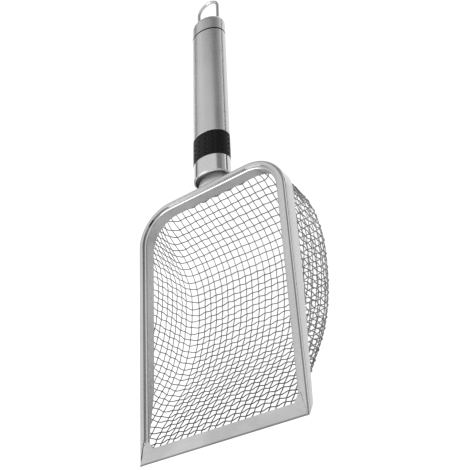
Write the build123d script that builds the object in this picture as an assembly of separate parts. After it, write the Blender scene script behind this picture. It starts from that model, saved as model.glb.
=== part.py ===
from build123d import *
from math import cos, radians, sin, tan
import os

# Sand scoop: a wire basket in a U-shaped rim, with an oval handle behind it.
# While it is being built, X runs across the mouth, Y runs from the blade's edge
# towards the handle, and Z points out of the mouth, whose plane is z = 0.
# The finished parts are moved together so that the origin is under the middle
# of the whole scoop, level with the basket's lowest point.

# Rim, in millimetres
RIM_LENGTH = 183.7
RIM_HALF_FRONT = 60.0
RIM_HALF_TOP = 61.5
RIM_CORNER = 28.0
SHEET = 0.9
FLANGE = 4.0
EDGE_ROUND = 2.2
SKIRT_NOSE = 8.0
SKIRT_FRONT = 5.9
SKIRT_DEPTH = 11.5
SKIRT_FULL_AT = 95.0
PAST = 5.0

# Wire cloth, as thick as two crossed wires
CLOTH = 1.6
CLOTH_INSET = 2.2
BASKET_DEPTH = 58.0
BASKET_ROUND = 8.0
RAMP_ANGLE = 34.0
BELLY_RADIUS = 140.0
BACK_CREASE = 14.0
BACK_ANGLE = 58.7
BACK_RADIUS = 38.0
RAMP_START_RADIUS = 8.0

# Band that clamps the cloth, and the wire behind it
BAND_INSET = CLOTH_INSET + CLOTH
BAND_SHEET = 1.0
BAND_START = 14.0
BAND_FRONT_DEPTH = 4.0
BAND_SIDE_DEPTH = 9.6
BAND_FULL_AT = 50.0
BEAD_RADIUS = 1.3
BEAD_DROP = 2.4
RIM_WIRE_RADIUS = (CLOTH_INSET - SHEET) / 2

# Blade across the front, its hem and the facets at its ends
BLADE_LENGTH = 9.8
BLADE_ANGLE = 12.0
HEM_SHEET = 0.7
HEM_STEP = 1.2
HEM_FLAT = 3.2
HEM_LENGTH = 8.0
HEM_HALF_WIDTH = 50.0
MITRE = 8.7
TAIL = 6.0
TIP_LENGTH = 16.0

# Handle: an oval section along an axis that leans back from the mouth's plane
HANDLE_A = 14.7
HANDLE_B = 10.6
HANDLE_DROP = 8.6
HANDLE_LEAN = 2.54
FERRULE_START = 7.7
BAND_GRIP_START = 22.5
TUBE_START = 45.2
TUBE_END = 154.4
CORE_END = 152.5
GASKET = 1.2
CAP_LENGTH = 18.0
CAP_ROUND = 6.8
CAP_CAVITY = 6.2
CAP_WALL = 1.6
FERRULE_WALL = 1.3
PLUG_RECESS = 2.3
LIP_ROUND = 0.6
TUBE_WALL = 1.0
RUBBER = 1.4
RUBBER_PROUD = 0.15

# Neck, rod and nut
NECK_A = 11.8
NECK_B = 4.4
NECK_DROP = 6.9
NECK_PLUG_A = 10.5
WELD_RADIUS = 1.0
ROD_RADIUS = 3.0
ROD_START = 3.0
WASHER_RADIUS = 7.0
WASHER = 1.2
NUT_FLATS = 10.0
NUT = 3.4
ANCHOR = 2.4

# Hanging loop
LOOP_WIRE_RADIUS = 1.5
LOOP_HALF_WIDTH = 9.5
LOOP_TOP = 199.0
LOOP_CORNER = 9.2


def half_width(y, inset):
    """Half the mouth's width at y, measured inset from the rim's outside."""
    growth = (RIM_HALF_TOP - RIM_HALF_FRONT) / RIM_LENGTH
    return RIM_HALF_FRONT + growth * y - inset


def mouth(inset, front):
    """The mouth's outline as a face, inset from the rim's outside and cut off square at y = front."""
    top = RIM_LENGTH - inset
    near = half_width(front, inset)
    far = half_width(top, inset)
    face = make_face(Polyline((-near, front), (-far, top), (far, top), (near, front), close=True))
    corners = face.vertices().sort_by(Axis.Y)[-2:]
    return fillet(corners, RIM_CORNER - inset)


def mouth_block(inset, front, low, high):
    """A block with the mouth's outline, between two heights."""
    return Pos(0, 0, low) * extrude(mouth(inset, front), high - low)


def rounded_block(inset, front, low, high, radius):
    """A mouth block whose top edge is rounded all the way except at the open front."""
    block = mouth_block(inset, front, low, high)
    rounded = block.faces().sort_by(Axis.Z)[-1].edges().sort_by(Axis.Y)[1:]
    return fillet(rounded, radius)


def across(outline, half=RIM_HALF_TOP + PAST):
    """A side-view outline of (y, z) points, run across the scoop's width."""
    face = make_face(Polyline(*outline, close=True))
    return extrude(Plane.YZ * face, half, both=True)


def blade_point(along, down):
    """A (y, z) point, measured along the blade from its edge and down from its face."""
    slope = radians(BLADE_ANGLE)
    return (along * cos(slope) - down * sin(slope), -along * sin(slope) - down * cos(slope))


def rim_path(inset, front, z):
    """The rim's centre line at an inset, as a U that is open at the front."""
    top = RIM_LENGTH - inset
    near = half_width(front, inset)
    far = half_width(top, inset)
    points = [(-near, front, z), (-far, top, z), (far, top, z), (near, front, z)]
    return FilletPolyline(*points, radius=RIM_CORNER - inset)


def wire_along(path, radius):
    """A round wire along a path."""
    return sweep(Plane(origin=path @ 0, z_dir=path % 0) * Circle(radius), path)


def rim_frame():
    outside = rounded_block(0, 0, -SKIRT_DEPTH, 0, EDGE_ROUND)
    inside = rounded_block(SHEET, -PAST, -SKIRT_DEPTH - PAST, -SHEET, EDGE_ROUND - SHEET)
    opening = mouth_block(FLANGE, -PAST, -PAST, PAST)
    skirt = across([
        (-PAST, PAST),
        (-PAST, -SHEET),
        (0, -SHEET),
        (SKIRT_NOSE, -SKIRT_FRONT),
        (SKIRT_FULL_AT, -SKIRT_DEPTH),
        (RIM_LENGTH + PAST, -SKIRT_DEPTH),
        (RIM_LENGTH + PAST, PAST),
    ])
    frame = (outside - inside - opening) & skirt
    for side in (-1, 1):
        frame -= tip_mitre(side)
    return frame


def tip_mitre(side):
    """The wedge cut from the flange, which narrows to a point at each front corner."""
    wedge = make_face(Polyline(
        (side * half_width(0, SHEET), -PAST),
        (side * half_width(0, SHEET), 0),
        (side * half_width(TIP_LENGTH, FLANGE), TIP_LENGTH),
        (side * half_width(TIP_LENGTH, FLANGE + PAST), TIP_LENGTH),
        (side * half_width(0, FLANGE + PAST), -PAST),
        close=True,
    ))
    return Pos(0, 0, -SHEET) * extrude(wedge, PAST)


def basket_profile(wall):
    """The basket's side view, from its tail under the blade to the rim's top bar."""
    tail = blade_point(BLADE_LENGTH - TAIL, SHEET + CLOTH - wall)
    bend = blade_point(BLADE_LENGTH, SHEET + CLOTH - wall)
    back = (RIM_LENGTH - CLOTH_INSET - wall, -BACK_CREASE)
    depth = BASKET_DEPTH - wall
    ramp_run = (depth + bend[1]) / tan(radians(RAMP_ANGLE))
    back_run = (depth + back[1]) / tan(radians(BACK_ANGLE))
    top = (back[0] + (PAST - back[1]) / tan(radians(BACK_ANGLE)), PAST)
    underside = FilletPolyline(
        tail,
        bend,
        (bend[0] + ramp_run, -depth),
        (back[0] - back_run, -depth),
        top,
        radius=[RAMP_START_RADIUS + wall, BELLY_RADIUS - wall, BACK_RADIUS - wall],
    )
    return make_face(underside + Polyline(top, (tail[0], PAST), tail))


def basket_body(wall):
    """The basket's outside, or its inside when wall is the cloth's thickness."""
    walls = mouth_block(CLOTH_INSET + wall, -PAST, -BASKET_DEPTH - PAST, PAST)
    belly = extrude(Plane.YZ * basket_profile(wall), RIM_HALF_TOP + PAST, both=True)
    body = walls & belly
    upright = body.faces().filter_by(lambda face: abs(face.normal_at().Z) < 0.01)
    upright = upright.sort_by(Axis.Y)[1:]
    under = body.faces().filter_by(lambda face: face.normal_at().Z < -0.01)
    return fillet(upright.edges() & under.edges(), BASKET_ROUND - wall)


def mesh_basket():
    shell = basket_body(0) - basket_body(CLOTH)
    under_blade = across([
        (-PAST, -BASKET_DEPTH - PAST),
        (-PAST, -SHEET),
        blade_point(0, SHEET),
        blade_point(BLADE_LENGTH, SHEET),
        (blade_point(BLADE_LENGTH, SHEET)[0], -SHEET),
        (RIM_LENGTH + PAST, -SHEET),
        (RIM_LENGTH + PAST, -BASKET_DEPTH - PAST),
    ])
    return shell & under_blade


def clamp_band():
    """The clamp's wall and the bead along its top, run round the mouth as one section."""
    path = rim_path(BAND_INSET, BAND_START, 0)
    section = Pos(-(SHEET + SKIRT_DEPTH) / 2, BAND_SHEET / 2) * Rectangle(SKIRT_DEPTH - SHEET, BAND_SHEET)
    section += Pos(-BEAD_DROP, BEAD_RADIUS + 0.1) * Circle(BEAD_RADIUS)
    upright = Plane(origin=path @ 0, x_dir=(0, 0, 1), z_dir=path % 0)
    return sweep(upright * section, path) & across([
        (0, 0),
        (0, -BAND_FRONT_DEPTH),
        (BAND_START, -BAND_FRONT_DEPTH),
        (BAND_FULL_AT, -BAND_SIDE_DEPTH),
        (RIM_LENGTH, -SKIRT_DEPTH),
        (RIM_LENGTH, 0),
    ])


def rim_wire():
    height = -EDGE_ROUND - RIM_WIRE_RADIUS
    return wire_along(rim_path(SHEET + RIM_WIRE_RADIUS, TIP_LENGTH, height), RIM_WIRE_RADIUS)


def front_blade():
    plate = across([
        blade_point(0, 0),
        blade_point(BLADE_LENGTH, 0),
        blade_point(BLADE_LENGTH, SHEET),
        blade_point(SHEET / 2, SHEET),
        blade_point(0, SHEET / 2),
    ])
    tip = half_width(0, SHEET)
    mitred = make_face(Polyline(
        (-tip, -PAST),
        (-tip, 0),
        (-tip + MITRE, BLADE_LENGTH),
        (tip - MITRE, BLADE_LENGTH),
        (tip, 0),
        (tip, -PAST),
        close=True,
    ))
    return plate & extrude(mitred, 2 * PAST, both=True)


def blade_hem():
    low = SHEET + CLOTH
    return across([
        blade_point(SHEET, SHEET),
        blade_point(HEM_FLAT - HEM_STEP, SHEET),
        blade_point(HEM_FLAT, low),
        blade_point(HEM_LENGTH, low),
        blade_point(HEM_LENGTH, low + HEM_SHEET),
        blade_point(HEM_FLAT - HEM_SHEET / 2, low + HEM_SHEET),
        blade_point(HEM_FLAT - HEM_STEP - HEM_SHEET / 2, SHEET + HEM_SHEET),
        blade_point(SHEET, SHEET + HEM_SHEET),
    ], HEM_HALF_WIDTH)


def tip_facet(side):
    """The small plate that closes the corner between the blade and one side of the rim."""
    tip = half_width(0, SHEET)
    inner_y, inner_z = blade_point(BLADE_LENGTH, 0)
    bead_x = half_width(TIP_LENGTH, BAND_INSET + BEAD_RADIUS)
    corner = Polyline(
        (side * tip, 0, 0),
        (side * (tip - MITRE), inner_y, inner_z),
        (side * bead_x, TIP_LENGTH, -SHEET - BEAD_RADIUS / 2),
        close=True,
    )
    return extrude(make_face(corner), SHEET, dir=(0, 0, -1))


lean = radians(HANDLE_LEAN)
HANDLE = Plane(
    origin=(0, RIM_LENGTH, -HANDLE_DROP),
    x_dir=(1, 0, 0),
    z_dir=(0, cos(lean), -sin(lean)),
)


def oval(start, end, inset=0.0):
    """An oval bar along the handle, inset from the handle's outside."""
    section = HANDLE.offset(start) * Ellipse(HANDLE_A - inset, HANDLE_B - inset)
    return extrude(section, end - start)


def round_bar(start, end, radius):
    """A round bar on the handle's axis."""
    return extrude(HANDLE.offset(start) * Circle(radius), end - start)


def rounded_oval(start, end, inset, start_radius, end_radius):
    """An oval bar with its two end edges rounded."""
    bar = oval(start, end, inset)
    if end_radius:
        bar = fillet(bar.edges().sort_by(Axis.Y)[-1:], end_radius)
    if start_radius:
        bar = fillet(bar.edges().sort_by(Axis.Y)[:1], start_radius)
    return bar


def neck():
    foot = Plane(origin=(0, RIM_LENGTH, -NECK_DROP), x_dir=(1, 0, 0), z_dir=(0, 1, 0))
    top = HANDLE.offset(FERRULE_START + PLUG_RECESS)
    body = loft([foot * Ellipse(NECK_A, NECK_B), top * Ellipse(NECK_PLUG_A, NECK_B)])
    return body - round_bar(ROD_START, TUBE_START, ROD_RADIUS)


def neck_weld():
    ring = Plane(origin=(0, RIM_LENGTH, -NECK_DROP), x_dir=(1, 0, 0), z_dir=(0, 1, 0))
    path = (ring * Ellipse(NECK_A, NECK_B)).edge()
    start = Plane(origin=path @ 0, z_dir=path % 0)
    bead = sweep(start * Circle(WELD_RADIUS), path)
    return bead - mouth_block(0, 0, -2 * SKIRT_DEPTH, PAST)


def ferrule():
    sleeve = rounded_oval(FERRULE_START, BAND_GRIP_START, 0, LIP_ROUND, LIP_ROUND / 2)
    return sleeve - oval(FERRULE_START - PAST, BAND_GRIP_START + PAST, FERRULE_WALL)


def ferrule_plug():
    plug = oval(FERRULE_START + PLUG_RECESS, BAND_GRIP_START, FERRULE_WALL)
    return plug - round_bar(0, TUBE_START, ROD_RADIUS)


def grip_band():
    band = oval(BAND_GRIP_START, TUBE_START, -RUBBER_PROUD)
    return band - oval(BAND_GRIP_START - PAST, TUBE_START + PAST, RUBBER)


def handle_core():
    core = oval(BAND_GRIP_START, TUBE_START, RUBBER) + oval(TUBE_START, CORE_END, TUBE_WALL)
    return core - round_bar(0, CORE_END + PAST, ROD_RADIUS)


def handle_tube():
    tube = rounded_oval(TUBE_START, TUBE_END, 0, LIP_ROUND / 2, LIP_ROUND / 2)
    return tube - oval(TUBE_START - PAST, TUBE_END + PAST, TUBE_WALL)


def cap_gasket():
    ring = oval(TUBE_END, TUBE_END + GASKET)
    return ring - oval(TUBE_END - PAST, TUBE_END + PAST, RUBBER * 2)


def loop_path():
    """The loop's centre line: two legs along the handle, joined by a round top."""
    foot = TUBE_END + GASKET + CAP_CAVITY - ANCHOR
    outline = [
        (-LOOP_HALF_WIDTH, foot),
        (-LOOP_HALF_WIDTH, LOOP_TOP),
        (LOOP_HALF_WIDTH, LOOP_TOP),
        (LOOP_HALF_WIDTH, foot),
    ]
    points = [HANDLE.from_local_coords((x, 0, along)) for x, along in outline]
    return FilletPolyline(*points, radius=LOOP_CORNER)


def end_cap():
    start = TUBE_END + GASKET
    dome = rounded_oval(start, start + CAP_LENGTH, 0, 0, CAP_ROUND)
    cavity = oval(start - PAST, start + CAP_CAVITY, CAP_WALL)
    return dome - cavity - wire_along(loop_path(), LOOP_WIRE_RADIUS)


def loop_anchor():
    top = TUBE_END + GASKET + CAP_CAVITY
    plate = oval(top - ANCHOR, top, CAP_WALL)
    return plate - wire_along(loop_path(), LOOP_WIRE_RADIUS)


def tang_nut():
    start = CORE_END + WASHER
    hexagon = HANDLE.offset(start) * RegularPolygon(NUT_FLATS / 2, 6, major_radius=False)
    return extrude(hexagon, NUT) - round_bar(0, start + 2 * NUT, ROD_RADIUS)


facets = {side: tip_facet(side) for side in (-1, 1)}
frame = rim_frame()
band = clamp_band() - facets[-1] - facets[1]
blade = front_blade() - frame
cloth = mesh_basket() - facets[-1] - facets[1] - band

parts = {
    "rim_frame": frame,
    "clamp_band": band,
    "rim_wire": rim_wire(),
    "front_blade": blade,
    "blade_hem": blade_hem(),
    "left_tip_facet": facets[-1] - frame - blade,
    "right_tip_facet": facets[1] - frame - blade,
    "mesh_basket": cloth,
    "neck": neck(),
    "neck_weld": neck_weld() - neck(),
    "ferrule": ferrule(),
    "ferrule_plug": ferrule_plug(),
    "grip_band": grip_band(),
    "handle_core": handle_core(),
    "handle_tube": handle_tube(),
    "cap_gasket": cap_gasket(),
    "end_cap": end_cap(),
    "hanging_loop": wire_along(loop_path(), LOOP_WIRE_RADIUS),
    "loop_anchor": loop_anchor(),
    "tang_rod": round_bar(ROD_START, CORE_END + WASHER + NUT, ROD_RADIUS),
    "tang_washer": round_bar(CORE_END, CORE_END + WASHER, WASHER_RADIUS)
    - round_bar(0, TUBE_END, ROD_RADIUS),
    "tang_nut": tang_nut(),
}

box = Compound(list(parts.values())).bounding_box()
to_origin = Pos(-box.center().X, -box.center().Y, -box.min.Z)
os.makedirs("parts", exist_ok=True)
for name, shape in parts.items():
    export_step(to_origin * shape, f"parts/{name}.step")
print("moved by", to_origin.position, "size", box.size)
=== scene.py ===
from math import cos, exp, hypot, pi, radians, sin, sqrt, tan
from random import Random

import bmesh
import bpy
from mathutils import Matrix, Vector


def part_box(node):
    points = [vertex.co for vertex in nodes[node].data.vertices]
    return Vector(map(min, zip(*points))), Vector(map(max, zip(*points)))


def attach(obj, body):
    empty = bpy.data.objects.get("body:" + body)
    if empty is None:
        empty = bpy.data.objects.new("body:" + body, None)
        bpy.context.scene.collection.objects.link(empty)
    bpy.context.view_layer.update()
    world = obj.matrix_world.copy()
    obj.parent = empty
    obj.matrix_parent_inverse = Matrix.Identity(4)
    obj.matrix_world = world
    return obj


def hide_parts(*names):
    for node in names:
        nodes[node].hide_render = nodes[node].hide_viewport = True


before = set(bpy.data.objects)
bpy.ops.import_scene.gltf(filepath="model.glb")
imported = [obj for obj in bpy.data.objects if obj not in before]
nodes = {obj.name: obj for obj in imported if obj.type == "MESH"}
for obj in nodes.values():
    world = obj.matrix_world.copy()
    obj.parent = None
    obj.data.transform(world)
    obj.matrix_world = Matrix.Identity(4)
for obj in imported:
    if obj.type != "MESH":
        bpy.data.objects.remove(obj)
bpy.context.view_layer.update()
MM = 0.001

# The rim gives the mouth's plane, its front edge and its length.
rim_low, rim_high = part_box("rim_frame")
MOUTH_Z = rim_high.z
FRONT_Y = rim_low.y
RIM_LENGTH = (rim_high.y - rim_low.y) / MM


# --- Small helpers ---------------------------------------------------------------------
def linear(hex_colour):
    """An sRGB hex colour as linear RGBA."""
    channels = [int(hex_colour[i:i + 2], 16) / 255 for i in (1, 3, 5)]
    straight = [c / 12.92 if c <= 0.04045 else ((c + 0.055) / 1.055) ** 2.4 for c in channels]
    return (*straight, 1.0)


def add(tree, kind, inputs, **settings):
    """Adds a node, sets its settings, and fills its inputs with values or with links."""
    node = tree.nodes.new(kind)
    for name, value in settings.items():
        setattr(node, name, value)
    for name, value in inputs.items():
        if isinstance(value, bpy.types.NodeSocket):
            tree.links.new(value, node.inputs[name])
        else:
            node.inputs[name].default_value = value
    return node


def link_object(name, data):
    piece = bpy.data.objects.new(name, data)
    bpy.context.scene.collection.objects.link(piece)
    return piece


def at_mouth(x, y, z):
    """A point in millimetres from the middle of the blade's edge, as a point in the frame."""
    return Vector((x * MM, FRONT_Y + y * MM, MOUTH_Z + z * MM))


# --- Materials -------------------------------------------------------------------------
# Hairlines lean across the piece, and are a ninth of a millimetre wide and 7 mm long.
HAIRLINE_SLANT = Vector((0.3, 0.5, 0.2))
HAIRLINE_SCALE = Vector((9000.0, 150.0, 9000.0))


def surface(name, dark, light, rough, grain, depth, cloud=25.0, hairlines=0.0, crevice=0.0, fades=(),
            **shader_values):
    """A material whose colour and roughness wander between two values, with grain in relief.

    dark and light are the two colours, and rough is the two roughnesses.
    grain is the size of a grain along X, Y and Z in millimetres, depth is its relief,
    cloud is the size of the broad patches that handling leaves, hairlines is how much
    rougher the fine slanting scratches are, crevice is how wide a gap, in millimetres,
    is still darkened with painted shade. Each of the fades is (axis, start, end, shade, duller): before
    the start the colour is multiplied by shade and duller is added to the roughness, and
    both are gone at the end. Along X it is the distance from the middle that counts.
    """
    material = bpy.data.materials.new(name)
    material.use_nodes = True
    tree = material.node_tree
    shader = tree.nodes["Principled BSDF"]
    for socket, value in shader_values.items():
        shader.inputs[socket.replace("_", " ")].default_value = value
    place = add(tree, "ShaderNodeTexCoord", {}).outputs["Object"]
    scale = Vector([1 / (size * MM) for size in grain])
    stretched = add(tree, "ShaderNodeMapping", {"Vector": place, "Scale": scale}).outputs[0]
    fine = add(tree, "ShaderNodeTexNoise", {"Vector": stretched, "Scale": 1.0, "Detail": 3.0}).outputs[0]
    clouds = {"Vector": place, "Scale": 1 / (cloud * MM), "Detail": 3.0}
    broad = add(tree, "ShaderNodeTexNoise", clouds).outputs[0]
    # The mean of the two noises rarely leaves 0.35 to 0.65, so those are the ends of its range.
    both = add(tree, "ShaderNodeMix", {0: 0.5, 2: fine, 3: broad}).outputs[0]
    shade = add(tree, "ShaderNodeMapRange", {"Value": both, "From Min": 0.38, "From Max": 0.62}).outputs[0]
    colour = add(tree, "ShaderNodeMix", {0: shade, 6: linear(dark), 7: linear(light)}, data_type="RGBA")
    base = colour.outputs[2]
    # Painted shade: ambient occlusion darkens the colour in gaps narrower than crevice, down to 0.14 of it.
    if crevice:
        gap = {"Distance": crevice * MM}
        open_sky = add(tree, "ShaderNodeAmbientOcclusion", gap, samples=6).outputs["AO"]
        crevice_shade = add(tree, "ShaderNodeMapRange", {
            "Value": open_sky, "From Min": 0.25, "From Max": 0.75, "To Min": 0.14, "To Max": 1.0}).outputs[0]
        base = add(tree, "ShaderNodeVectorMath", {0: base, "Scale": crevice_shade}, operation="SCALE").outputs[0]
    gloss = add(tree, "ShaderNodeMapRange", {
        "Value": both, "From Min": 0.35, "From Max": 0.65,
        "To Min": rough[0], "To Max": rough[1]}).outputs[0]
    if hairlines:
        turned = add(tree, "ShaderNodeMapping", {
            "Vector": place, "Rotation": HAIRLINE_SLANT, "Scale": HAIRLINE_SCALE}).outputs[0]
        scratch = add(tree, "ShaderNodeTexNoise", {"Vector": turned, "Scale": 1.0, "Detail": 0.0}).outputs[0]
        line = add(tree, "ShaderNodeMapRange", {
            "Value": scratch, "From Min": 0.66, "From Max": 0.72, "To Max": hairlines}).outputs[0]
        gloss = add(tree, "ShaderNodeMath", {0: gloss, 1: line}, operation="ADD").outputs[0]
    for axis, start, end, shade, duller in fades:
        at = add(tree, "ShaderNodeSeparateXYZ", {"Vector": place}).outputs[axis]
        if axis == "X":
            at = add(tree, "ShaderNodeMath", {0: at}, operation="ABSOLUTE").outputs[0]
        faded = {"Value": at, "From Min": start, "From Max": end}
        tint = add(tree, "ShaderNodeMapRange", {**faded, "To Min": shade, "To Max": 1.0}).outputs[0]
        base = add(tree, "ShaderNodeVectorMath", {0: base, "Scale": tint}, operation="SCALE").outputs[0]
        dulled = add(tree, "ShaderNodeMapRange", {**faded, "To Min": duller, "To Max": 0.0}).outputs[0]
        gloss = add(tree, "ShaderNodeMath", {0: gloss, 1: dulled}, operation="ADD").outputs[0]
    tree.links.new(base, shader.inputs["Base Color"])
    tree.links.new(gloss, shader.inputs["Roughness"])
    relief = add(tree, "ShaderNodeBump", {"Height": fine, "Strength": 1.0, "Distance": depth * MM})
    tree.links.new(relief.outputs[0], shader.inputs["Normal"])
    return material


# Rolled and buffed strip: a near mirror, clouded only a little by handling, with the
# hairlines that sand leaves, which soften the edges of what it reflects. Its crevices get painted shade.
rim_steel = surface("Buffed rolled stainless strip, sand-scratched", "#C0C0C0", "#CBCBCB", (0.09, 0.14),
                    (1.5, 1.5, 1.5), 0.0001, 45.0, hairlines=0.05, crevice=2.2, Metallic=1.0)
# Inner band: its bead is buffed as bright as the rim, and the wall below it keeps the
# dull skin of the rolling mill, so the cloth doesn't show in it. That wall is also painted darker as painted
# shade, and the crevices get painted shade.
band_steel = surface("Rolled stainless band with a buffed bead", "#C0C0C0", "#CBCBCB", (0.07, 0.12),
                     (1.5, 1.5, 1.5), 0.0001, 45.0, hairlines=0.05, crevice=2.2,
                     Metallic=1.0, fades=[("Z", MOUTH_Z - 1.8 * MM, MOUTH_Z - 1.2 * MM, 0.82, 0.20)])
# Blade face left as rolled: an even, satin grey with no clear reflection in it. A strip along its front edge
# is painted darker, as painted shade.
blade_steel = surface("Satin cold-rolled stainless plate", "#BCBCBC", "#D0D0D0", (0.40, 0.52),
                      (6.0, 0.25, 0.25), 0.0015, 22.0, hairlines=0.10, Metallic=1.0,
                      fades=[("Y", FRONT_Y + 0.6 * MM, FRONT_Y + 1.1 * MM, 0.42, 0.0)])
# The cloth's wires: drawing leaves streaks along each one. The wires across the
# scoop are painted darker than the lengthwise ones as painted shade, so the two directions of the weave read
# apart.
# Away from the side walls both are painted darker as painted shade, and darker still on the front ramp.
SIDE_WALL = ("X", 50.0 * MM, 57.0 * MM)
RAMP = ("Y", FRONT_Y + 25.0 * MM, FRONT_Y + 60.0 * MM)
cross_wire = surface("Drawn stainless wire, crimped, crosswise, painted shade", "#666667", "#909091", (0.26, 0.42),
                     (2.4, 0.12, 0.12), 0.002, 12.0, Metallic=1.0,
                     fades=[(*SIDE_WALL, 0.66, 0.0), (*RAMP, 0.48, 0.0)])
long_wire = surface("Drawn stainless wire, crimped, lengthwise", "#949495", "#BCBCBC", (0.24, 0.38),
                    (0.12, 2.4, 0.12), 0.002, 12.0, Metallic=1.0,
                    fades=[(*SIDE_WALL, 0.74, 0.0), (*RAMP, 0.60, 0.0)])
# Tube and cap, brushed along the handle: long fine lines that spread each highlight.
handle_steel = surface("Lengthwise brushed stainless tube", "#BCBCBC", "#C8C8C8", (0.22, 0.28),
                       (0.25, 22.0, 0.25), 0.0007, 60.0, hairlines=0.03, Metallic=1.0)
# Ferrule and loop: mirror-polished, with only the faintest clouding, and painted shade in their narrow gaps.
polished_steel = surface("Mirror-polished stainless steel", "#C4C4C4", "#D0D0D0", (0.07, 0.12),
                         (0.8, 2.0, 0.8), 0.0001, 30.0, hairlines=0.04, crevice=1.5, Metallic=1.0)
# Neck and its weld, blasted with glass beads, with no clear reflection, and painted near-white as a painted
# highlight. Its narrow gaps get painted shade.
neck_steel = surface("Bead-blasted stainless neck, painted highlight", "#EEEEEE", "#F8F8F8", (0.45, 0.60),
                     (0.15, 0.15, 0.15), 0.004, 8.0, crevice=1.0, Metallic=1.0)
# Face of the plug: a tumbled zinc casting whose flat grey, beside the bright neck, is painted darker as
# painted shade in the ferrule's recess, with wide painted shade in its crevices.
plug_zinc = surface("Tumbled die-cast zinc plug, darkened with painted shade", "#6A6A6A", "#868686", (0.38, 0.55),
                    (0.5, 0.5, 0.5), 0.006, 6.0, crevice=4.0, Metallic=1.0)
# Moulded rubber: black with a soft sheen, and a fine spark-eroded mould texture. Its dimples and gaps get
# painted shade.
grip_rubber = surface("Moulded black nitrile rubber, spark-eroded texture", "#030303", "#080808",
                      (0.34, 0.48), (0.22, 0.22, 0.22), 0.006, 9.0, crevice=1.0,
                      Metallic=0.0, Specular_IOR_Level=0.17)
# Injection-moulded filler, seen only when the handle is taken apart.
core_plastic = surface("Injection-moulded grey nylon core", "#4A4B4D", "#5C5D60", (0.45, 0.60),
                       (1.2, 6.0, 1.2), 0.012, 15.0, Metallic=0.0)
# Bright zinc plate on the rod and its fixings: silvery, slightly blue and uneven.
zinc_steel = surface("Bright zinc-plated carbon steel", "#A6AAB0", "#C2C5CA", (0.22, 0.40),
                     (0.6, 0.6, 0.6), 0.003, 5.0, hairlines=0.10, Metallic=1.0)

FINISHES = {
    band_steel: ("clamp_band",),
    rim_steel: ("rim_frame", "rim_wire", "left_tip_facet", "right_tip_facet"),
    blade_steel: ("front_blade", "blade_hem"),
    cross_wire: ("mesh_basket",),
    polished_steel: ("ferrule", "hanging_loop"),
    neck_steel: ("neck", "neck_weld"),
    plug_zinc: ("ferrule_plug",),
    handle_steel: ("handle_tube", "end_cap"),
    grip_rubber: ("grip_band", "cap_gasket"),
    core_plastic: ("handle_core",),
    zinc_steel: ("loop_anchor", "tang_rod", "tang_washer", "tang_nut"),
}
for finish, members in FINISHES.items():
    for member in members:
        nodes[member].data.materials.clear()
        nodes[member].data.materials.append(finish)


# --- Wire cloth --------------------------------------------------------------------------
# Middle of the cloth, in millimetres from the blade's edge and the mouth's plane. The
# side view runs from its tail under the blade, down the ramp, round the belly, up the
# back, and then straight up to the rim.
CLOTH_HALF = 57.0
CLOTH_WIDENS = 1.5 / 183.7
CLOTH_CORNER = 25.0
CLOTH_BACK = RIM_LENGTH - 3.0
CLOTH_ROUND = 7.2
CLOTH_TOP = -2.4
CLOTH_DEPTH = -57.05
TAIL_START = (3.7, -2.5)
BLADE_END = (9.23, -3.70)
BELLY_RADIUS = 139.2
BACK_RADIUS = 37.2
RAMP_ANGLE = radians(34.0)
BACK_ANGLE = radians(58.7)
BACK_CREASE = -14.0

# The crosswise wires take most of the crimp, and the lengthwise ones stay nearly straight.
# Together the two crimps are a little more than a wire's thickness. SHORTEST_WIRE is
# counted in steps and FIRST_CROSSWISE in pitches from the cloth's front edge.
WIRE_RADIUS = 0.36
LENGTHWISE_CRIMP = 0.22
CROSSWISE_CRIMP = 0.52
LENGTHWISE_PITCH = 5.25
CROSSWISE_PITCH = 5.3
STEPS_PER_PITCH = 6
SHORTEST_WIRE = 8
FIRST_CROSSWISE = 2
LEAST_BEND = 0.3
CHANNEL_GAP = 0.2
LAST_GAP = 2.0

# Nearer than this to the rim or to the back's crease, a wire runs straight.
STEADY_AT_RIM = 3.0
STEADY_AT_CREASE = 2.0


def side_line():
    """The cloth's side view as (y, z) points a short way apart, from the blade to the rim."""
    ramp_foot = BLADE_END[0] + (BLADE_END[1] - CLOTH_DEPTH) / tan(RAMP_ANGLE)
    back_foot = CLOTH_BACK - (BACK_CREASE - CLOTH_DEPTH) / tan(BACK_ANGLE)
    belly_start = ramp_foot + BELLY_RADIUS * tan(RAMP_ANGLE / 2)
    back_start = back_foot - BACK_RADIUS * tan(BACK_ANGLE / 2)
    points = [TAIL_START, BLADE_END]
    for i in range(61):
        turn = RAMP_ANGLE * (1 - i / 60)
        points.append((belly_start - BELLY_RADIUS * sin(turn),
                       CLOTH_DEPTH + BELLY_RADIUS * (1 - cos(turn))))
    for i in range(41):
        turn = BACK_ANGLE * i / 40
        points.append((back_start + BACK_RADIUS * sin(turn),
                       CLOTH_DEPTH + BACK_RADIUS * (1 - cos(turn))))
    points.append((CLOTH_BACK, BACK_CREASE))
    points.append((CLOTH_BACK, CLOTH_TOP))
    return points


SIDE_LINE = side_line()
SIDE_LENGTHS = [0.0]
for (y0, z0), (y1, z1) in zip(SIDE_LINE, SIDE_LINE[1:]):
    SIDE_LENGTHS.append(SIDE_LENGTHS[-1] + hypot(y1 - y0, z1 - z0))
SIDE_TOTAL = SIDE_LENGTHS[-1]
CREASE_AT = SIDE_LENGTHS[-2]


def along_side(t):
    """The (y, z) point at a distance t along the cloth's side view."""
    t = min(max(t, 0.0), SIDE_TOTAL)
    i = 0
    while SIDE_LENGTHS[i + 1] < t:
        i += 1
    share = (t - SIDE_LENGTHS[i]) / (SIDE_LENGTHS[i + 1] - SIDE_LENGTHS[i])
    (y0, z0), (y1, z1) = SIDE_LINE[i], SIDE_LINE[i + 1]
    return y0 + (y1 - y0) * share, z0 + (z1 - z0) * share


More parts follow.
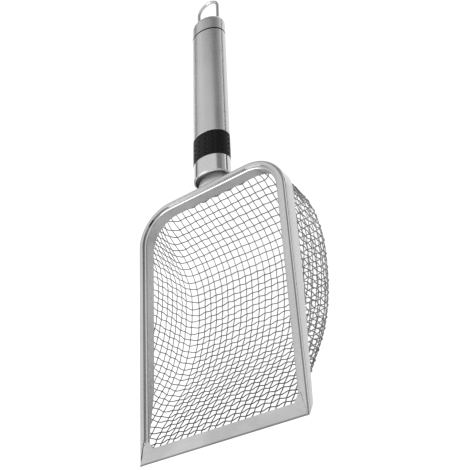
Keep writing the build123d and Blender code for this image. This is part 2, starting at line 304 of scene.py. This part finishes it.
def cloth_half(y):
    """Half the cloth's width at the rim, at y."""
    half = CLOTH_HALF + CLOTH_WIDENS * y
    past_corner = y - (CLOTH_BACK - CLOTH_CORNER)
    if past_corner > 0:
        half += sqrt(max(CLOTH_CORNER ** 2 - past_corner ** 2, 0.0)) - CLOTH_CORNER
    return half


def bend_over(floor):
    """The radius between the floor and the side wall, where the floor is at this height."""
    return min(CLOTH_ROUND, max(CLOTH_TOP - floor, LEAST_BEND))


def reach(t):
    """How far a wire across the scoop runs from the middle to the rim, at t along the side view."""
    y, floor = along_side(t)
    bend = bend_over(floor)
    flat = cloth_half(y) - bend
    if t >= CREASE_AT:
        return flat + bend
    return flat + bend * pi / 2 + max(CLOTH_TOP - floor - bend, 0.0)


def on_cloth(t, s):
    """The cloth's middle at t along the side view and s across, as a vector in millimetres."""
    y, floor = along_side(t)
    bend = bend_over(floor)
    half = cloth_half(y)
    flat = half - bend
    side = 1.0 if s >= 0 else -1.0
    over = abs(s) - flat
    if over <= 0:
        return Vector((s, y, floor))
    if over <= bend * pi / 2:
        turn = over / bend
        return Vector((side * (flat + bend * sin(turn)), y, floor + bend * (1 - cos(turn))))
    return Vector((side * half, y, floor + bend + over - bend * pi / 2))


def cloth_normal(t, s):
    """The cloth's direction outward, away from the sand, at (t, s)."""
    step = 0.4
    lengthwise = on_cloth(t + step, s) - on_cloth(t - step, s)
    across = on_cloth(t, s + step) - on_cloth(t, s - step)
    normal = lengthwise.cross(across)
    return normal.normalized() if normal.length > 1e-6 else Vector((0, 0, -1))


def wires(name, paths, material):
    """Round wires along paths of points in millimetres, as one mesh."""
    curve = bpy.data.curves.new(name, "CURVE")
    curve.dimensions = "3D"
    curve.bevel_depth = WIRE_RADIUS * MM
    curve.bevel_resolution = 1
    curve.use_fill_caps = True
    for path in paths:
        spline = curve.splines.new("POLY")
        spline.points.add(len(path) - 1)
        for point, place in zip(spline.points, path):
            point.co = (*at_mouth(*place), 1.0)
    source = bpy.data.objects.new(name, curve)
    mesh = bpy.data.meshes.new_from_object(source)
    bpy.data.objects.remove(source)
    for polygon in mesh.polygons:
        polygon.use_smooth = True
    mesh.materials.clear()
    mesh.materials.append(material)
    piece = link_object(name, mesh)
    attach(piece, "root")
    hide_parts("mesh_basket")


rng = Random(7)


def waver(length):
    """A slow, small sideways wander for one wire."""
    phases = [rng.uniform(0, 2 * pi) for _ in range(3)]
    sizes = [0.22, 0.14, 0.08]
    waves = [length * f for f in (0.9, 0.37, 0.19)]
    shift = rng.uniform(-0.22, 0.22)
    return lambda at: shift + sum(a * sin(2 * pi * at / w + p) for a, w, p in zip(sizes, waves, phases))


lengthwise_paths = []
outermost = int(reach(CREASE_AT / 2) / LENGTHWISE_PITCH)
for j in range(-outermost, outermost + 1):
    wander = waver(180.0)
    path = []
    steps = int(SIDE_TOTAL / CROSSWISE_PITCH * STEPS_PER_PITCH)
    for i in range(steps + 1):
        t = SIDE_TOTAL * i / steps
        s = j * LENGTHWISE_PITCH
        if abs(s) > reach(t) - CHANNEL_GAP:
            if len(path) > SHORTEST_WIRE:
                lengthwise_paths.append(path)
            path = []
            continue
        s += wander(t) * (1 if abs(s) < reach(t) - STEADY_AT_RIM else 0)
        lift = LENGTHWISE_CRIMP * cos(pi * t / CROSSWISE_PITCH) * (-1) ** j
        path.append(on_cloth(t, s) + lift * cloth_normal(t, s))
    if len(path) > SHORTEST_WIRE:
        lengthwise_paths.append(path)

crosswise_paths = []
for k in range(FIRST_CROSSWISE, int((SIDE_TOTAL - LAST_GAP) / CROSSWISE_PITCH) + 1):
    wander = waver(110.0)
    t_wire = k * CROSSWISE_PITCH
    furthest = reach(t_wire)
    steps = int(2 * furthest / LENGTHWISE_PITCH * STEPS_PER_PITCH)
    path = []
    for i in range(steps + 1):
        s = furthest * (2 * i / steps - 1)
        t = t_wire + (wander(s) if t_wire < CREASE_AT - STEADY_AT_CREASE else 0)
        lift = -CROSSWISE_CRIMP * cos(pi * s / LENGTHWISE_PITCH) * (-1) ** k
        path.append(on_cloth(t, s) + lift * cloth_normal(t, s))
    crosswise_paths.append(path)

wires("lengthwise_wires", lengthwise_paths, long_wire)
wires("crosswise_wires", crosswise_paths, cross_wire)


# --- Dimpled rubber band -----------------------------------------------------------------
# The band is an oval sleeve round the handle's leaning axis. Its places along that axis
# are millimetres from the rim's back, and DIMPLE_EDGE is how softly a dimple turns in.
HANDLE_LEAN = radians(2.54)
HANDLE_DROP = 8.6
GRIP_A = 14.85
GRIP_B = 10.75
GRIP_START = 22.5
GRIP_END = 45.2
GRIP_WALL = 1.4
DIMPLE_COLUMNS = 14
DIMPLE_ROWS = 5
DIMPLE_PITCH = 4.35
DIMPLE_WIDTH = 0.85
DIMPLE_DEPTH = 0.70
DIMPLE_EDGE = 0.13
GRIP_EDGE = 0.35
ROUND_STEPS = 280
ALONG_STEPS = 76


def oval_distances(a, b, count=720):
    """The distance round an oval to each of a run of even angles."""
    lengths = [0.0]
    for i in range(count):
        first, second = 2 * pi * i / count, 2 * pi * (i + 1) / count
        lengths.append(lengths[-1] + hypot(a * (cos(second) - cos(first)), b * (sin(second) - sin(first))))
    return lengths


OVAL = oval_distances(GRIP_A, GRIP_B)
OVAL_LENGTH = OVAL[-1]


def oval_angle(distance):
    """The angle at a distance round the oval."""
    i = 0
    while i < len(OVAL) - 2 and OVAL[i + 1] < distance:
        i += 1
    share = (distance - OVAL[i]) / (OVAL[i + 1] - OVAL[i])
    return 2 * pi * (i + share) / (len(OVAL) - 1)


def dimple(round_way, along):
    """How far the band's face is pressed in at a place on it, in millimetres."""
    column = OVAL_LENGTH / DIMPLE_COLUMNS
    sideways = (round_way / column + 0.5) % 1.0 - 0.5
    middle = (GRIP_START + GRIP_END) / 2
    row = round((along - middle) / DIMPLE_PITCH)
    row = max(-(DIMPLE_ROWS // 2), min(DIMPLE_ROWS // 2, row))
    distance = hypot(sideways * column, along - middle - row * DIMPLE_PITCH)
    return DIMPLE_DEPTH / (1 + exp((distance - DIMPLE_WIDTH) / DIMPLE_EDGE))


def dimpled_band():
    """A grid wrapped round the handle, pressed in at each dimple and rounded at both ends."""
    shape = bmesh.new()
    bmesh.ops.create_grid(shape, x_segments=ROUND_STEPS, y_segments=ALONG_STEPS, size=0.5)
    along_axis = Vector((0, cos(HANDLE_LEAN), -sin(HANDLE_LEAN)))
    up_axis = Vector((0, sin(HANDLE_LEAN), cos(HANDLE_LEAN)))
    origin = at_mouth(0, RIM_LENGTH, -HANDLE_DROP)
    angles = [oval_angle(OVAL_LENGTH * i / ROUND_STEPS) for i in range(ROUND_STEPS + 1)]
    for vertex in shape.verts:
        round_share = vertex.co.x + 0.5
        along = GRIP_START + (GRIP_END - GRIP_START) * (vertex.co.y + 0.5)
        angle = angles[round(round_share * ROUND_STEPS)]
        inward = dimple(round_share * OVAL_LENGTH, along)
        from_end = min(along - GRIP_START, GRIP_END - along)
        if from_end < GRIP_EDGE:
            inward += GRIP_EDGE - sqrt(GRIP_EDGE ** 2 - (GRIP_EDGE - from_end) ** 2)
        outward = Vector((cos(angle) / GRIP_A, sin(angle) / GRIP_B)).normalized()
        x = GRIP_A * cos(angle) - outward.x * inward
        up = GRIP_B * sin(angle) - outward.y * inward
        vertex.co = origin + MM * (Vector((x, 0, 0)) + up * up_axis + along * along_axis)
    bmesh.ops.remove_doubles(shape, verts=shape.verts, dist=0.00001)
    bmesh.ops.recalc_face_normals(shape, faces=shape.faces)
    mesh = bpy.data.meshes.new("dimpled_band")
    shape.to_mesh(mesh)
    shape.free()
    for polygon in mesh.polygons:
        polygon.use_smooth = True
    mesh.materials.append(grip_rubber)
    piece = link_object("dimpled_band", mesh)
    thickness = piece.modifiers.new("Wall", "SOLIDIFY")
    thickness.thickness = GRIP_WALL * MM
    thickness.offset = -1.0
    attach(piece, "root")
    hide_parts("grip_band")


dimpled_band()


# --- Floor, light and camera -------------------------------------------------------------
def plane(name, centre, along, across, length, width):
    """A flat card whose face is square to along and across."""
    shape = bmesh.new()
    bmesh.ops.create_grid(shape, x_segments=1, y_segments=1, size=0.5)
    for vertex in shape.verts:
        x = vertex.co.x * length
        y = vertex.co.y * width
        vertex.co = Vector(centre) + x * Vector(along) + y * Vector(across)
    mesh = bpy.data.meshes.new(name)
    shape.to_mesh(mesh)
    shape.free()
    return link_object(name, mesh)


# Table and backdrop, in metres: the backdrop stands just inside the table's edge.
TABLE_SIZE = 4.0
SWEEP_RADIUS = 1.95
SWEEP_HEIGHT = 6.0

floor = plane("floor", (0, 0, 0), (1, 0, 0), (0, 1, 0), TABLE_SIZE, TABLE_SIZE)
# Lit from below, so it burns out to plain white and shines up into the metal.
floor_finish = surface("Opal acrylic light table, lit from below", "#8C8C8C", "#929292", (0.80, 0.95),
                       (1.5, 1.5, 1.5), 0.01, 200.0,
                       Emission_Color=linear("#FFFFFF"), Emission_Strength=0.86)
floor.data.materials.append(floor_finish)


def paper_sweep():
    """White paper round the table, which the camera sees and the metal doesn't reflect."""
    shape = bmesh.new()
    bmesh.ops.create_cone(shape, cap_ends=False, segments=64, radius1=SWEEP_RADIUS, radius2=SWEEP_RADIUS,
                          depth=SWEEP_HEIGHT, matrix=Matrix.Translation((0, 0, SWEEP_HEIGHT / 2)))
    mesh = bpy.data.meshes.new("paper_sweep")
    shape.to_mesh(mesh)
    shape.free()
    # Lit evenly, so it is white from every side.
    paper = surface("Matte white backdrop paper, lit evenly", "#EDEDED", "#F2F2F2", (0.9, 1.0),
                    (1.0, 1.0, 1.0), 0.02, 200.0,
                    Emission_Color=linear("#FFFFFF"), Emission_Strength=1.0)
    mesh.materials.append(paper)
    sweep = link_object("paper_sweep", mesh)
    sweep.visible_diffuse = False
    sweep.visible_glossy = False
    sweep.visible_shadow = False


paper_sweep()


def sky():
    """A white light tent whose rim is dark, with a dark panel on one side."""
    world = bpy.data.worlds.new("Light tent")
    world.use_nodes = True
    tree = world.node_tree
    way = add(tree, "ShaderNodeTexCoord", {}).outputs["Generated"]
    height = add(tree, "ShaderNodeSeparateXYZ", {"Vector": way}).outputs["Z"]

    def step(low, high, bottom, top):
        """Brightness that goes softly from bottom to top between two heights, of 1 at the zenith."""
        return add(tree, "ShaderNodeMapRange", {
            "Value": height, "From Min": low, "From Max": high, "To Min": bottom, "To Max": top},
            interpolation_type="SMOOTHSTEP").outputs[0]

    plain = step(0.04, 0.36, 0.16, 0.95)
    panel = add(tree, "ShaderNodeMath", {0: step(0.24, 0.36, 0.52, 0.30), 1: step(0.58, 0.68, 0.0, 0.65)},
                operation="ADD").outputs[0]
    panel_way = Vector((0.66, 0.75, 0.0))
    towards = add(tree, "ShaderNodeVectorMath", {0: way, 1: panel_way}, operation="DOT_PRODUCT")
    side = add(tree, "ShaderNodeMapRange", {
        "Value": towards.outputs["Value"], "From Min": 0.30, "From Max": 0.62}).outputs[0]
    brightness = add(tree, "ShaderNodeMix", {0: side, 2: plain, 3: panel}).outputs[0]
    tree.links.new(brightness, tree.nodes["Background"].inputs["Strength"])
    tree.nodes["Background"].inputs["Color"].default_value = linear("#FFFFFF")
    bpy.context.scene.world = world


sky()


def softbox(name, place, target, size, watts):
    """A rectangular area light at a place, facing a target."""
    data = bpy.data.lights.new(name, "AREA")
    data.shape = "RECTANGLE"
    data.size, data.size_y = size
    data.energy = watts
    lamp = link_object(name, data)
    lamp.location = place
    lamp.rotation_euler = (Vector(target) - Vector(place)).to_track_quat("-Z", "Y").to_euler()


softbox("Key softbox", (-0.85, -0.42, 1.35), (0, 0, 0.03), (1.2, 1.1), 9.5)

# The camera looks down at the mouth from beyond its right front corner, and is rolled so
# that the handle stands upright.
AIM = at_mouth(21.4, 131.3, 0.0)
DISTANCE = 0.5193
AZIMUTH = radians(39.97)
ELEVATION = radians(44.05)
ROLL = radians(-54.57)

back = Vector((sin(AZIMUTH) * cos(ELEVATION), -cos(AZIMUTH) * cos(ELEVATION), sin(ELEVATION)))
camera_data = bpy.data.cameras.new("Camera")
camera_data.lens = 61.93
camera_data.sensor_width = 36.0
camera_data.clip_start = 0.01
camera_data.dof.use_dof = False
camera = link_object("Camera", camera_data)
camera.location = AIM + DISTANCE * back
level = (-back).to_track_quat("-Z", "Y").to_matrix()
camera.rotation_euler = (level @ Matrix.Rotation(ROLL, 3, "Z")).to_euler()
bpy.context.scene.camera = camera


def flag(name, finish, centre, along, across, length, width):
    """A dark card that only reflections see."""
    card = plane(name, centre, along, across, length, width)
    card.data.materials.append(finish)
    card.visible_camera = False
    card.visible_diffuse = False
    card.visible_shadow = False


# Black felt: all it does is keep light out of the reflections that it covers.
flag_felt = surface("Black flag felt", "#020202", "#050505", (0.9, 1.0), (0.4, 0.4, 0.4), 0.05, 60.0)
# Grey board dims what the rim's skirt reflects, and doesn't black it out.
flag_board = surface("Grey flag board", "#343434", "#3C3C3C", (0.9, 1.0), (0.4, 0.4, 0.4), 0.02, 60.0)
sideways, upwards, _ = camera.rotation_euler.to_matrix().col
flag("camera_flag", flag_felt, camera.location + 0.03 * back, sideways, upwards, 0.20, 0.20)
flag("handle_flag", flag_felt, (0.135, 0.19, 0.001), (0, 1, 0), (1, 0, 0), 0.26, 0.09)
flag("rim_flag", flag_board, (0.112, -0.065, 0.001), (0, 1, 0), (1, 0, 0), 0.22, 0.038)

bpy.context.scene.view_settings.view_transform = "Standard"
